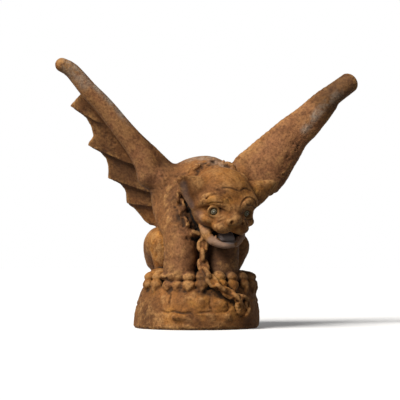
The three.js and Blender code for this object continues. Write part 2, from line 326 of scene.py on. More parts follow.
def rock(clay):
    clay.add(plinth(), 2)
    for centre, radii in BLOCKS:
        clay.add(ball(centre, radii, UPRIGHT), 4)
    chance = np.random.default_rng(5)
    behind = []
    for start in range(-20, 200, 44):
        height = chance.uniform(22, 46)
        behind.append([on_plinth(start + k * 9, height + chance.uniform(-2, 2)) for k in range(5)])
        behind.append([on_plinth(start + 20 + 3 * k, height - 8 * k) for k in range(3)])
    for path in CRACKS + behind:
        clay.cut(limb(path, [0.5, 1.5, 1.1, 1.5, 0.5], UPRIGHT, count=16), 1.5)


# ---------------------------------------------------------------- body

LEG_XS = {-1: -40, 1: 29}
LEG_Y = -56
FRONT_TOES = {-1: [-9.3, -22.4, -36.1, -47], 1: [10.2, 25.5, 43]}  # bearings round the dome, from straight ahead
HIND_TOES = [-64, -81, 58, 76]
KNEES = {-1: (-56, -55, -53), 1: (64, 61, 55)}  # how far out the knee, calf and heel are


def torso(clay):
    clay.add(ball((-4, 14, 226), (53, 60, 55)))
    clay.add(ball((12, 10, 229), (54, 58, 57)), 6)
    clay.add(limb([(0, 22, 222), (0, 50, 180), (0, 58, 130), (0, 56, 96)], [54, 56, 56, 48]), 12)
    clay.add(limb([(0, -6, 200), (0, -26, 150), (0, -24, 104)], [48, 40, 34]), 12)
    clay.add(limb([(0, -4, 226), (14, -34, 220), (22, -58, 212)], [51, 51, 44]), 10)


def front_leg(clay, side):
    x = LEG_XS[side]
    clay.add(limb([(side * 38, -14, 214), (x, -42, 168), (x, LEG_Y + 2, 130), (x, LEG_Y, 92)], [32, 29, 27, 27]), 15)
    clay.add(ball((x + side * 2, LEG_Y - 2, 82), (31, 22, 9)), 5)
    clay.add(limb([(side * 56, -6, 236), (side * 60, -10, 200), (side * 54, -26, 168)], [26, 21, 19]), 15)


def toe(clay, bearing, girth, dice, reach=0.0):
    """Two knuckles that bend down over the plinth's rim, with a crease between them, and a short blunt claw."""
    wobble = dice.uniform(0.93, 1.07, 4)
    pose = Pose(turn_about("z", bearing + dice.uniform(-1, 1)), (4, -3.5, 0))
    front = -86 - reach
    clay.add(limb([(0, -56, 88), (0, front + 1, 84)], [girth * 0.85, girth * 0.8], pose), 2)
    clay.add(ball((0, front, 83.5), np.array([0.95, 0.85, 0.66]) * girth * wobble[0], pose), 1)
    clay.add(ball((0, front - 1.5, 71 + 20 * (wobble[1] - 1)), np.array([1.08, 0.92, 0.9]) * girth * wobble[2], pose), 1)
    clay.add(limb([(0, front - 7, 66), (dice.uniform(-2, 1), front - 6, 57 + 20 * (wobble[3] - 1))], [5, 2.4], pose), 1.5)


def paws(clay):
    dice = np.random.default_rng(12)
    for bearings in FRONT_TOES.values():
        for bearing in bearings:
            toe(clay, bearing, 11.4 - 0.03 * abs(bearing), dice)
    for bearing in HIND_TOES:
        toe(clay, bearing, 10.5, dice)


def hind_leg(clay, side):
    knee, calf, heel = KNEES[side]
    clay.add(limb([(side * 38, 56, 122), (knee * 0.92, 30, 134), (knee, 2, 137)], [40, 33, 24]), 8)
    clay.add(limb([(knee, 0, 137), (calf, 2, 118), (heel, 8, 98)], [23.5, 20.5, 16.5]), 4)
    clay.add(ball((heel + side * 8, -6, 83), (20, 28, 12)), 3)


def tail(clay):
    clay.add(limb([(0, 84, 100), (34, 92, 88), (64, 64, 86), (84, 30, 84)], [16, 13, 10, 7]), 3)


# ---------------------------------------------------------------- head

EYES = {-1: np.array([-30.5, -38.5, -9.0]), 1: np.array([25.5, -39.5, -8.5])}
GAZES = {-1: np.array([-0.25, -0.96, 0.02]), 1: np.array([0.12, -0.98, -0.02])}
LOWER_LIP = [
    (-37, -17, -40), (-33, -28, -47.5), (-25, -39, -57), (-10, -46.5, -62), (7, -47.5, -60.5), (20, -43.5, -57),
    (28, -34, -49.5), (35, -17, -41),
]
TONGUE = [(3, -40, -51.5), (3, -22, -49)]


def skull(clay):
    clay.add(ball((2, 4, 10), (48, 50, 43), HEAD))
    clay.add(ball((1, -8, -18), (51, 42, 34), HEAD), 10)
    clay.add(ball((0, -36, -21), (31, 27, 19), HEAD), 8)
    clay.add(limb([(0, -40, 2), (0, -52, -7), (1, -60, -16)], [12, 9, 8], HEAD), 6)
    for side in (-1, 1):
        clay.add(ball((side * 15, -47, -31), (16, 16, 11.5), HEAD), 4)
        clay.add(ball((side * 33, -31, -24), (14, 13, 9), HEAD), 6)
    clay.add(ball((30, -22, 18), (14, 14, 10), HEAD), 6)


def settled(clay, path, depth=0.0):
    """The head's points (x, z) carried onto the front of the clay, then `depth` into it."""
    found = []
    for x, z in path:
        line = HEAD.at([(x, y, z) for y in np.arange(-80, 20, 0.5)])
        spots = np.round((line - GRID_LOW) / STEP).astype(int) - clay.start
        inside = clay.values[tuple(spots.T)] < 0
        found.append((x, -80 + 0.5 * int(np.argmax(inside)) + depth, z))
    return found


def brow(clay, side):
    outer = 46 if side < 0 else 43
    clay.add(limb([(side * outer, -17, -3), (side * 38, -31, 7), (side * 23, -40, 8.5), (side * 10, -48, 0)],
                  [8, 11.5, 11.5, 7], HEAD), 8)


FURROWS = {  # across the face, as (x, z), and how deep
    -1: [
        ([(-47, -2), (-42, 14), (-27, 20), (-13, 13), (-7, 2)], 1.5),
        ([(-43, 1), (-35, 6), (-22, 7)], 0.8),
        ([(-49, -11), (-40, -3), (-26, -2), (-15, -5)], 1.6),
        ([(-20, 28), (-8, 30), (6, 27)], 0.7),
        ([(-30, 24), (-16, 22), (-5, 14)], 0.8),
        ([(-44, -16), (-36, -18), (-24, -17), (-18, -12)], 0.8),
    ],
    1: [
        ([(43, -2), (38, 12), (26, 19), (14, 13), (7, 2)], 1.3),
        ([(40, 1), (32, 6), (20, 7)], 0.7),
        ([(43, -11), (36, -3), (24, -2), (13, -6)], 1.4),
        ([(10, 27), (20, 30), (32, 26)], 0.6),
        ([(40, -18), (30, -18), (18, -15)], 0.8),
    ],
}


def furrows(clay, side):
    for path, deep in FURROWS[side]:
        clay.cut(limb(settled(clay, path), [0.5, deep * 1.35, deep * 1.35, 0.6], HEAD), 0.7)


def eye(clay, side):
    centre, gaze = EYES[side], GAZES[side] / np.linalg.norm(GAZES[side])
    across = np.cross(gaze, (0, 0, 1))
    clay.cut(ball(centre + gaze * 7, (9.5, 5, 8), HEAD), 3)
    clay.add(ring(centre + gaze * 5.4, across, gaze, 7.8, 2.1, 1.1, HEAD), 1.5)
    clay.add(ball(centre, (6.4, 7.4, 6.4), HEAD), 0.4)
    clay.cut(ring(centre + gaze * 7.4, across, gaze, 2.4, 1.1, 1, HEAD), 0.5)


def nose(clay):
    clay.add(ball((1, -60, -15), (9, 7.5, 8), HEAD), 3)
    for x, y, z in ((-8.5, -59, -20), (12, -57.5, -20.5)):
        clay.add(ball((x, y, z), (7, 7, 6.5), HEAD), 1.5)
    for x, y, z in ((-7.6, -66.8, -20), (13, -64.5, -21)):
        clay.cut(ball((x, y, z), (3.2, 5, 3.2), HEAD), 0.8)
    clay.cut(limb([(2, -67, -25), (2, -66, -32), (2, -62, -40)], [1, 1.5, 1.5], HEAD), 1.5)
    for side in (-1, 1):
        clay.cut(limb([(side * 14, -60, -10), (side * 20, -57, -18), (side * 25, -52, -25)], [0.6, 1.2, 0.4], HEAD), 2)
        clay.cut(limb([(side * 31, -42, -20), (side * 35, -38, -27), (side * 36, -32, -34)], [0.5, 1, 0.5], HEAD), 2)


def mouth(clay):
    clay.cut(ball((0, -38, -47.5), (28, 25, 8), HEAD), 2)
    for side in (-1, 1):
        clay.cut(limb([(side * 38, -20, -37), (side * 31, -34, -44), (side * 20, -45, -48)], [1.2, 2.5, 5], HEAD), 2)


def jaw(clay):
    clay.add(ball((0, -15, -52), (30, 27, 14), HEAD), 4)
    clay.add(limb(LOWER_LIP, [4, 7.5, 7, 5, 4.6, 4.8, 5.2, 4], HEAD, count=22), 2)
    for side in (-1, 1):
        clay.add(ball((side * 30, -28, -49), (6.5, 10, 9.5), HEAD), 3)
    clay.cut(ball((1, -33, -48), (23.5, 20.5, 7.5), HEAD), 1.5)
    clay.add(limb(TONGUE, [6, 8], HEAD, wide=1.9), 1)
    clay.cut(limb([(3, -48, -46.5), (3, -30, -43)], [0.8, 1], HEAD), 1.5)
    for x, y in ((-24, -37), (-19.5, -41), (20, -39.5)):
        clay.add(limb([(x, y, -55), (x, y, -48.5)], [2.8, 1.5], HEAD), 0.6)


def ear(clay, side):
    if side > 0:
        clay.add(limb([(36, 2, 6), (58, -2, 17), (82, -5, 34)], [28, 20, 7.5], HEAD, wide=0.6, across=(0, 1, 0)), 5)
        clay.cut(limb([(60, -22, 18), (72, -18, 27)], [9, 5], HEAD, wide=0.5, across=(0, 1, 0)), 4)
        return
    clay.add(limb([(-36, 1, 8), (-55, -2, 17), (-79, -5, 31)], [27, 19, 6], HEAD, wide=0.55, across=(0, 1, 0)), 7)
    clay.add(ball((-45, -7, 13), (21, 13, 21), HEAD), 9)
    clay.add(limb([(-79, -6, 31), (-70, -8, 14), (-58, -11, -4), (-46, -15, -18)], [5, 5, 6, 6.5], HEAD), 7)


def head():
    clay = Clay(HEAD.at((0, -20, -10)) - 112, HEAD.at((0, -20, -10)) + 112)
    skull(clay)
    for side in (-1, 1):
        ear(clay, side)
    mouth(clay)
    jaw(clay)
    for side in (-1, 1):
        brow(clay, side)
        furrows(clay, side)
        eye(clay, side)
    nose(clay)
    return clay


# ---------------------------------------------------------------- wings

WING_ROOT = np.array([52, 8, 236])
WING_RISE = 45.5
WING_SPLAYS = {-1: 35, 1: 42}
ARMS = {  # path from the elbow to the tip, girths, breadths
    -1: ([(86, -4, 246), (90.5, -4, 262), (111, -6, 293), (135, -8, 319), (169.6, -11, 356), (196, -12, 380),
          (212, -13, 397), (227, -14, 411), (240.5, -14, 417)],
         [21.5, 20, 18.4, 17, 15.9, 15, 14.3, 13, 11.4], [1]),
    1: ([(92, -4, 256), (104, -4, 269), (128, -6, 300.5), (151.5, -8, 330.5), (179, -12, 358), (208, -15, 390),
         (246, -20, 422)],
        [19, 18.5, 17.5, 16, 15.5, 15, 14.5], [2.3, 2.1, 1.78, 1.6, 1.42, 1.2, 1.18]),
}
ARM_GROOVE = [(-4, 26, -9), (20, 21.5, -9), (60, 19, -8), (110, 17, -7), (160, 15, -6), (196, 14, -5)]
EDGE_ROLL = [
    (221, -16, 380), (202, -13, 355), (187, -11, 336), (171, -9, 318), (160, -7, 294), (150, -6, 277), (139, -5, 254),
    (127, -4, 238),
]
SHOULDERS = {
    -1: ([(44, 12, 228), (78, 10, 264), (120, 6, 308)], [29, 24, 17]),
    1: ([(44, 12, 228), (72, 8, 256), (108, 4, 288)], [29, 25, 15]),
}
FINGERS = [(105, 202, 47), (25, 133, 76), (-35, 67, 91), (-56, 13, 100), (-85, -36, 96)]  # root, tip, reach
EDGE = [  # the web's free edge from the arm down to the flank: along, behind
    (207, 14), (203, 45), (197, 49), (185, 45), (170, 41.5), (154, 45), (141, 52), (139, 56), (136, 70), (132, 76.5),
    (125, 77), (111, 70), (97, 69), (85, 75), (77, 82), (68, 91), (61, 90.5), (48, 84), (36, 84), (28, 88), (19, 96),
    (11, 100.5), (0, 98), (-15, 97), (-28, 97), (-37, 94.5), (-41, 81), (-43, 73), (-62, 62),
]


def wing_pose(side):
    """The wing's own frame: x along the arm, y behind it, z proud of the web. The right one is a mirror image."""
    rise, splay = math.radians(WING_RISE), math.radians(WING_SPLAYS[side])
    arm = np.array([math.cos(rise), 0, math.sin(rise)])
    outwards = np.array([math.sin(rise), 0, -math.cos(rise)])
    back = np.array([0, math.cos(splay), 0]) + outwards * math.sin(splay)
    mirror = np.array([side, 1, 1])
    turn = np.stack([arm, back, np.cross(arm, back)], 1) * mirror[:, None]
    return Pose(turn, WING_ROOT * mirror).within(LEAN)


def shingles(along, behind):
    """How far the web's front stands proud: each panel swells towards the rib below it, then drops behind it."""
    rises = np.zeros(np.broadcast(along, behind).shape, np.float32)
    ribs = [root + (tip - root) * behind / reach for root, tip, reach in FINGERS]
    for upper, lower, bold in zip([ribs[0] + 60, *ribs], ribs, (0.8, 1, 1, 0.7, 0.4)):
        share = np.clip((upper - along) / (upper - lower), 0, 1)
        inside = (along <= upper) & (along > lower)
        rises = np.where(inside, bold * share**1.6 * smooth_step((along - lower) / 5), rises)
    return rises * smooth_step((behind - 4) / 26)


def web(side):
    pose = wing_pose(side)
    outline = [*EDGE, (-48, 0), (195, 0)]
    distance_at = outline_table(outline, (-110, -40), (250, 150))
    corners = pose.at([(u, w, n) for u in (-64, 210) for w in (0, 106) for n in (-14, 14)])

    def form(clay, margin):
        spot, (x, y, z) = clay.window(corners.min(0) - margin, corners.max(0) + margin)
        along, behind, proud = pose.into(x, y, z)
        edge = distance_at(along, behind)
        half = 3 + 3 * np.clip(-edge / 60, 0, 1)
        rise = 9 * shingles(along, behind)
        slab = np.abs(proud + rise / 2) - half - rise / 2
        yield spot, -smooth_min(-slab, -edge, 2.5)

    return form


def wing(side):
    mirror = np.array([side, 1, 1])
    pose = wing_pose(side)
    path, girths, breadths = ARMS[side]
    path = np.array(path) * mirror
    reach = LEAN.at(np.vstack([path, pose.at([(0, 100, 0), (-62, 60, 0)])]))
    clay = Clay(reach.min(0) - 60, reach.max(0) + 60)
    clay.add(web(side))
    for root, tip, out in FINGERS:
        share = 1 - 4 / out
        clay.add(limb([(root, 0, 3), (root + (tip - root) * share, out * share, 1)], [6, 4.5], pose), 5)
    across = np.array([0.7, -0.2, -0.7]) * mirror
    if side > 0:
        clay.add(limb(EDGE_ROLL, [6, 8.5, 9.5, 9.5, 9, 8.5, 8.5, 8], count=20), 3)
    clay.add(limb(path, girths, wide=breadths, across=across, count=24), 5 if side > 0 else 1.5)
    if side < 0:
        clay.cut(limb(ARM_GROOVE, [1.2, 2.2, 2.4, 2.4, 1.5], pose, count=24), 1.2)
    spine, thick = SHOULDERS[side]
    clay.add(limb(np.array(spine) * mirror, thick), 5)
    return clay


# ---------------------------------------------------------------- collar and chain

COLLAR_CENTRE = np.array([12, -56, 209])
COLLAR = [
    (-41, -55, 232), (-46, -59, 214), (-42, -62, 193), (-38, -69, 168), (-26, -71, 154), (0, -66, 149), (30, -64, 152),
    (54, -68, 172), (66, -62, 200), (66, -58, 228), (52, -56, 250), (36, -48, 264), (18, -42, 270), (-2, -43, 266),
    (-22, -50, 250), (-34, -54, 240), (-41, -55, 232),
]


def chain(clay, path, count, size, outwards, pose):
    """A chain carved in relief: links that lie flat take turns with links seen edge-on."""
    points = curve(path, 2 * count + 1)
    for k in range(count):
        place, along = points[2 * k + 1], points[2 * k + 2] - points[2 * k]
        out = outwards(place)
        if k % 2:
            out = np.cross(along, out)
        clay.add(ring(place, along, out, size * 0.66, size * 0.48, 1.7, pose), 1)


def collar(clay):
    """The chain round the neck, with crumbs of stone caught along it."""
    clay.add(limb(COLLAR, [4, 4], count=60), 4)
    chain(clay, COLLAR, 26, 8, lambda place: place - COLLAR_CENTRE + (0, -30, 0), LEAN)
    dice = np.random.default_rng(31)
    for place in curve(COLLAR, 90):
        crumb = place + dice.normal(0, 4.5, 3) + (0, 3, 0)
        clay.add(ball(crumb, dice.uniform(2, 4.2, 3)), 1)


LEASH = [
    (2, -56, 168), (-6, -76, 140), (-7, -82, 104), (-3, -94, 88), (6, -101, 75), (18, -101, 64), (31, -99, 58),
    (42, -98, 50), (49, -95, 40), (54, -92, 28),
]
LEASH_END = [(42, -98, 50), (58, -86, 50), (66, -82, 39), (65, -84, 29), (58, -88, 22)]


def leash(clay):
    clay.add(limb(LEASH, [4, 4], UPRIGHT, count=24), 3)
    chain(clay, LEASH, 11, 8.5, lambda place: np.array([place[0], place[1], 30]), UPRIGHT)
    chain(clay, LEASH_END, 4, 7, lambda place: np.array([place[0], place[1], 30]), UPRIGHT)


# ---------------------------------------------------------------- mesh from the field


def surface(values, low):
    """Vertices and outward quads of the field's zero surface, by surface nets."""
    stone = values < 0
    cells = np.zeros(np.array(stone.shape) - 1, np.uint8)
    corners = [(i, j, k) for i in (0, 1) for j in (0, 1) for k in (0, 1)]
    for i, j, k in corners:
        cells += stone[i : i + cells.shape[0], j : j + cells.shape[1], k : k + cells.shape[2]]
    active = np.flatnonzero((cells > 0) & (cells < 8))
    place = np.stack(np.unravel_index(active, cells.shape), 1)
    at = {c: values[tuple((place + c).T)] for c in corners}
    total = np.zeros((len(active), 3))
    hits = np.zeros(len(active))
    for a in corners:
        for axis in range(3):
            if a[axis]:
                continue
            b = tuple(1 if k == axis else a[k] for k in range(3))
            crosses = (at[a] < 0) != (at[b] < 0)
            share = np.where(crosses, at[a] / np.where(crosses, at[a] - at[b], 1), 0)
            total += crosses[:, None] * np.array(a)
            total[:, axis] += share
            hits += crosses
    vertices = low + STEP * (place + total / hits[:, None])
    quads = []
    stride = (cells.shape[1] * cells.shape[2], cells.shape[2], 1)
    for axis in range(3):
        u, w = [k for k in range(3) if k != axis]
        this = tuple(slice(0, -1) if k == axis else slice(1, -1) for k in range(3))
        next_ = tuple(slice(1, None) if k == axis else slice(1, -1) for k in range(3))
        changes = stone[this] != stone[next_]
        spots = np.stack(np.nonzero(changes), 1)
        spots[:, [u, w]] += 1
        falls = stone[tuple(spots.T)]
        base = spots @ np.array(stride)
        loop = [base - stride[u] - stride[w], base - stride[w], base, base - stride[u]]
        index = np.stack([np.searchsorted(active, cell) for cell in loop], 1)
        flip = falls if axis != 1 else ~falls
        index[~flip] = index[~flip][:, ::-1]
        quads.append(index)
    return vertices, np.vstack(quads)


def normals_of(vertices, faces):
    """Unit vertex normals, weighted by area."""
    a, b, c, d = (vertices[faces[:, k]] for k in range(4)) if faces.shape[1] == 4 else (
        *(vertices[faces[:, k]] for k in range(3)), vertices[faces[:, 0]])
    face = np.cross(c - a, d - b) if faces.shape[1] == 4 else np.cross(b - a, c - a)
    total = np.zeros_like(vertices)
    for corner in range(faces.shape[1]):
        for axis in range(3):
            total[:, axis] += np.bincount(faces[:, corner], face[:, axis], len(vertices))
    return total / (np.linalg.norm(total, axis=1, keepdims=True) + TINY)


def sample(values, low, pitch, points):
    """The grid's value at each point, interpolated."""
    place = np.clip((points - low) / pitch, 0, np.array(values.shape) - 1.001)
    i, j, k = place.astype(int).T
    a, b, c = (place - place.astype(int)).T
    near = 0
    for di, fa in ((0, 1 - a), (1, a)):
        for dj, fb in ((0, 1 - b), (1, b)):
            for dk, fc in ((0, 1 - c), (1, c)):
                near = near + values[i + di, j + dj, k + dk] * fa * fb * fc
    return near


def blurred(values, reach):
    """Box blur along each axis, twice."""
    for _ in range(2):
        for axis in range(3):
            padded = np.concatenate([np.zeros_like(values.take([0], axis)), np.cumsum(values, axis)], axis)
            count = values.shape[axis]
            first = np.clip(np.arange(count) - reach, 0, count)
            last = np.clip(np.arange(count) + reach + 1, 0, count)
            values = (padded.take(last, axis) - padded.take(first, axis)) / (2 * reach + 1)
    return values


# ---------------------------------------------------------------- noise


def lattice(seed):
    return np.random.default_rng(seed).random((32, 32, 32)).astype(np.float32) * 2 - 1


def noise(points, scale, seed, octaves=1):
    """Smooth value noise, from -1 to 1, with features `scale` millimetres across."""
    total, weight, reach = 0, 1.0, 0
    for octave in range(octaves):
        table = lattice(seed + octave)
        place = points / scale * 2**octave + 7.3 * (octave + seed)
        cell = np.floor(place).astype(int)
        part = place - cell
        part = part * part * (3 - 2 * part)
        value = 0
        for di in (0, 1):
            for dj in (0, 1):
                for dk in (0, 1):
                    share = np.prod(np.abs(part - (1 - np.array([di, dj, dk]))), axis=1)
                    index = (cell + (di, dj, dk)) % 32
                    value = value + share * table[index[:, 0], index[:, 1], index[:, 2]]
        total = total + value * weight
        reach += weight
        weight *= 0.5
    return total / reach


def near_path(points, path, radius, soft, pose=LEAN, count=24):
    """1 where a point is within `radius` of a line, falling to 0 over `soft` beyond it."""
    spine = pose.at(curve(path, count)) if len(path) > 1 else pose.at(path)
    nearest = np.full(len(points), 1e9)
    for spot in spine:
        nearest = np.minimum(nearest, ((points - spot) ** 2).sum(1))
    return 1 - smooth_step((np.sqrt(nearest) - radius) / soft)


def smooth_step(value):
    value = np.clip(value, 0, 1)
    return value * value * (3 - 2 * value)


# ---------------------------------------------------------------- the casting


def sculpt():
    clay = Clay()
    torso(clay)
    for side in (-1, 1):
        clay.add(wing(side).as_form(), 14)
        front_leg(clay, side)
        hind_leg(clay, side)
    tail(clay)
    collar(clay)
    clay.add(head().as_form(), 3)
    rock(clay)
    paws(clay)
    leash(clay)
    return clay


SMOOTH_ARMS = [
    ([(86, -4, 246), (111, -6, 293), (170, -11, 356), (240, -14, 417)], -1),
    ([(94, -4, 262), (148, -8, 334), (208, -15, 390), (246, -20, 422)], 1),
]
CRUMBLY = [  # (path, radius, softness, strength, pose): where the stone is coarse and pitted
    ([(-38, -50, 236), (-46, -58, 214), (-42, -64, 186), (-36, -70, 162), (-20, -74, 150)], 12, 10, 1, LEAN),
    ([(-24, -50, 250), (0, -44, 268), (24, -42, 270), (46, -52, 256)], 9, 8, 1, LEAN),
    ([(-56, -30, 230), (-58, -40, 190), (-50, -46, 160)], 14, 14, 0.7, LEAN),
    ([(-56, -30, 150), (-52, -34, 120), (-56, -40, 92)], 9, 8, 1, LEAN),
    ([(-74, -72, 84), (-66, -76, 66), (-44, -88, 64), (-12, -99, 66), (20, -99, 60)], 7, 6, 0.7, UPRIGHT),
    ([(196, -16, 366), (176, -24, 340), (152, -26, 300), (130, -24, 256)], 5, 6, 0.5, LEAN),
    ([(-4, -84, 116), (-8, -88, 96), (10, -102, 70), (40, -100, 50), (54, -94, 30)], 5, 6, 0.5, UPRIGHT),
]


def roughen(points, normals):
    """Moves the surface in and out: rough rock on the plinth, crumbs and pits on the neck, leather on the webs."""
    calm = np.max([near_path(points, np.array(path) * (side, 1, 1), 19, 8) for path, side in SMOOTH_ARMS], axis=0)
    face = near_path(points, [(0, -20, 10), (0, -30, -20)], 42, 16, HEAD)
    still = 1 - 0.75 * np.maximum(calm, 0.7 * face)
    coarse = zone(points, CRUMBLY)
    rock = near_path(points, [(0, 0, 0), (0, 0, 60)], 104, 14, UPRIGHT)
    move = 0.5 * still * noise(points, 26, 3, 2) + 0.4 * still * noise(points, 6, 11, 2)
    move += rock * (1.3 * noise(points, 30, 23, 2) + 0.8 * noise(points * (1, 1, 2), 10, 29, 3))
    move += coarse * (2.4 * noise(points, 7, 51, 3) - 0.6)
    pits = noise(points, 5.2, 41, 2)
    spread = smooth_step((noise(points, 40, 43) + 0.2) / 0.6) * still
    move -= smooth_step((pits - 0.25) / 0.3) * (0.7 * spread + 1.1 * coarse)
    return points + normals * move[:, None]


def casting():
    clay = sculpt()
    vertices, quads = surface(clay.values, GRID_LOW)
    vertices = roughen(vertices, normals_of(vertices, quads))
    vertices = np.clip(vertices, NODE_LOW + 0.05, NODE_HIGH - 0.05)
    vertices[vertices[:, 2] < 0.8, 2] = 0
    mesh = bpy.data.meshes.new("gargoyle_stone")
    mesh.vertices.add(len(vertices))
    mesh.vertices.foreach_set("co", (vertices * 0.001).ravel())
    mesh.loops.add(quads.size)
    mesh.loops.foreach_set("vertex_index", quads.ravel().astype(np.int32))
    mesh.polygons.add(len(quads))
    mesh.polygons.foreach_set("loop_start", np.arange(0, quads.size, 4, dtype=np.int32))
    mesh.update(calc_edges=True)
    piece = bpy.data.objects.new("gargoyle_stone", mesh)
    bpy.context.scene.collection.objects.link(piece)
    fewer = piece.modifiers.new("fewer", "DECIMATE")
    fewer.ratio = min(1, TRIANGLES / (2 * len(quads)))
    fewer.use_collapse_triangulate = True
    ready = piece.evaluated_get(bpy.context.evaluated_depsgraph_get())
    piece.data = bpy.data.meshes.new_from_object(ready)
    piece.modifiers.clear()
    piece.data.name = "gargoyle_stone"
    piece.data.shade_smooth()
    # The face's furrows, along which a strip of shade is painted into the colour
    painted_shade_furrow_paths = [settled(clay, path) for side in (-1, 1) for path, _deep in FURROWS[side]]
    paint(piece.data, clay, painted_shade_furrow_paths)
    return piece


OCHRE_ZONES = [  # (path, radius, softness, strength, pose)
    ([(0, -20, 12), (0, -30, -10)], 34, 26, 0.75, HEAD),
    ([(-30, -40, 10), (-12, -50, 8)], 12, 8, 1, HEAD),
    ([(62, -2, 22), (82, -4, 34)], 14, 10, 1, HEAD),
    ([(-76, -84, 76), (-40, -100, 78), (0, -100, 76), (40, -100, 76), (70, -80, 74)], 9, 9, 1, UPRIGHT),
    ([(-84, -40, 78), (-70, -6, 150)], 14, 16, 1, UPRIGHT),
    ([(84, -40, 78), (72, -6, 140)], 12, 14, 0.8, UPRIGHT),
    ([(-56, -86, 20), (-30, -99, 24), (-20, -100, 44)], 10, 16, 1, UPRIGHT),
    ([(18, -100, 40), (56, -90, 30)], 8, 14, 0.7, UPRIGHT),
    ([(-40, -56, 190), (-44, -40, 160)], 12, 18, 0.6, UPRIGHT),
]
LICHEN_ZONES = [
    ([(-228, -18, 424), (-200, -18, 402), (-160, -16, 366), (-130, -14, 334)], 5, 12, 0.9, LEAN),
    ([(-232, -24, 410), (-205, -24, 388)], 4, 12, 0.5, LEAN),
    ([(0, 6, 286), (22, -20, 270)], 20, 26, 0.5, LEAN),
    ([(22, -60, 262), (40, -70, 250)], 6, 14, 0.5, LEAN),
    ([(226, -34, 402), (190, -30, 366), (170, -30, 336)], 3, 9, 0.7, LEAN),
]
# The stone's rosy tone together with a painted highlight: the fronts of both wing arms and a strip down one front leg,
# lightened and reddened
ROSE_AND_SHEEN_ZONES = [
    ([(-90, -20, 250), (-111, -22, 293), (-170, -27, 356), (-205, -26, 388)], 16, 10, 1, LEAN),
    ([(110, -20, 270), (140, -22, 310), (170, -24, 350)], 26, 18, 1, LEAN),
    ([(-40, -80, 150), (-40, -82, 100)], 8, 12, 0.5, LEAN),
]
DULL_ZONES = [
    ([(-36, -50, 190), (-40, -56, 92)], 30, 14, 0.8, LEAN),
    ([(32, -50, 190), (32, -56, 92)], 30, 14, 1, LEAN),
    ([(-90, 10, 240), (-205, 40, 340)], 60, 30, 0.7, LEAN),
    ([(236, -16, 414)], 26, 26, 1, LEAN),
    ([(-60, -20, 240), (-40, -20, 200)], 30, 20, 0.4, LEAN),
]


# Patches of painted shade, (path, radius, softness, strength, pose): the tip of the +x wing, the front leg and haunch
# on the +x side, both flanks of the plinth, the valley by the -x elbow, the root of the -x web and one toe, darkened
# where the light falls off
PAINTED_SHADE_ZONES = [
    ([(236, -16, 414), (205, -16, 392)], 18, 16, 0.8, LEAN),
    ([(30, -60, 150), (30, -62, 92)], 30, 10, 0.55, LEAN),
    ([(80, 0, 140), (78, -10, 100)], 24, 14, 0.6, LEAN),
    ([(80, -50, 20), (70, -60, 60)], 30, 26, 0.6, UPRIGHT),
    ([(-56, -6, 240), (-66, -4, 262)], 12, 16, 0.8, LEAN),
    ([(-88, 10, 236), (-110, 40, 240)], 30, 20, 0.5, LEAN),
    ([(-12, -99, 84), (-12, -100, 64)], 8, 6, 0.7, UPRIGHT),
    ([(-90, -20, 30), (-96, -10, 40)], 30, 26, 0.35, UPRIGHT),
]


def zone(points, spots):
    """The strongest of several soft patches around lines."""
    patches = [strength * near_path(points, path, radius, soft, pose) for path, radius, soft, strength, pose in spots]
    return np.max(patches, axis=0)


def paint(mesh, clay, furrow_paths_for_painted_shade):
    """Writes the masks that the stone's material reads, painted shade and a painted highlight among them."""
    count = len(mesh.vertices)
    points = np.empty(count * 3)
    mesh.vertices.foreach_get("co", points)
    points = points.reshape(-1, 3) * 1000
    normals = np.empty(count * 3)
    mesh.vertices.foreach_get("normal", normals)
    normals = normals.reshape(-1, 3)
    stone = np.clip(0.5 - clay.values[::2, ::2, ::2] / (2 * STEP), 0, 1)
    fine = sample(blurred(stone, max(1, round(2 / STEP))), GRID_LOW, 2 * STEP, points + normals * 0.5)
    broad = sample(blurred(stone, round(8 / STEP)), GRID_LOW, 2 * STEP, points + normals * 2)
    masks = {
        # deep: painted shade, darkening hollows and creases where shade falls
        "deep": smooth_step((fine - 0.5) / 0.2) * 0.75 + smooth_step((broad - 0.44) / 0.3) * 0.55,
        # painted highlight: convex ridges and edges, lightened in patches
        "ridge_highlight": smooth_step((0.48 - fine) / 0.14),
        "lip": near_path(points, LOWER_LIP[2:7], 5.5, 5, HEAD),
        # line: painted shade, a dark strip along each furrow of the face
        "line": np.max([
            near_path(points, path, 0.8, 1.6, HEAD) for path in furrow_paths_for_painted_shade], axis=0),
        "tongue": near_path(points, TONGUE, 11, 4, HEAD),
        # painted shade: patches on the sides that the lamps leave dark
        "painted_shade_patches": zone(points, PAINTED_SHADE_ZONES),
        "mauve": np.maximum(near_path(points, [(-76, -8, 26), (-66, -10, 6), (-56, -14, -8)], 3.5, 4, HEAD),
                            near_path(points, [(-46, -22, -22), (-38, -30, -38)], 5, 10, HEAD) * 0.6),
        "ochre": zone(points, OCHRE_ZONES),
        "lichen": zone(points, LICHEN_ZONES),
        "rose_and_sheen": zone(points, ROSE_AND_SHEEN_ZONES),
        "dull": zone(points, DULL_ZONES),
    }
    for name, values in masks.items():
        layer = mesh.attributes.new(name, "FLOAT", "POINT")
        layer.data.foreach_set("value", np.clip(values, 0, 1).astype(np.float32))


# ---------------------------------------------------------------- stone


